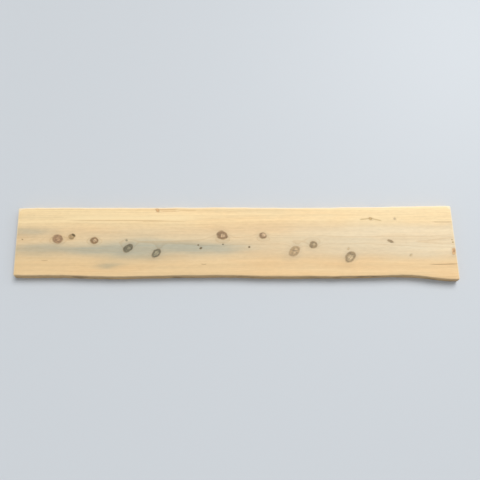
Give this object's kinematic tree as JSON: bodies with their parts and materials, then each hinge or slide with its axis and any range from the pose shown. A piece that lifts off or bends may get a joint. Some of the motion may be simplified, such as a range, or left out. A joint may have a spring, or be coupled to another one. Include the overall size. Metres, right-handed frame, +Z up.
{
  "type": "live-edge timber plank",
  "caption": "Long live-edge softwood plank with two flat sawn faces, wavy waney edges and cross-cut ends, stored lying flat.",
  "frame": {"origin": "middle of the underside, at the centre of the plank's bounding box in X and Y", "axes": "+X along the grain from the log's top end to its wider butt end, +Y across the sawn faces from the near live edge to the far one, +Z up through the thickness, out of the knotty show face"},
  "size_m": [2.4054, 0.4228, 0.045],
  "materials": {
    "pine_wood": "satin"
  },
  "bodies": {
    "root": {"plank": "pine_wood"}
  },
  "joints": []
}
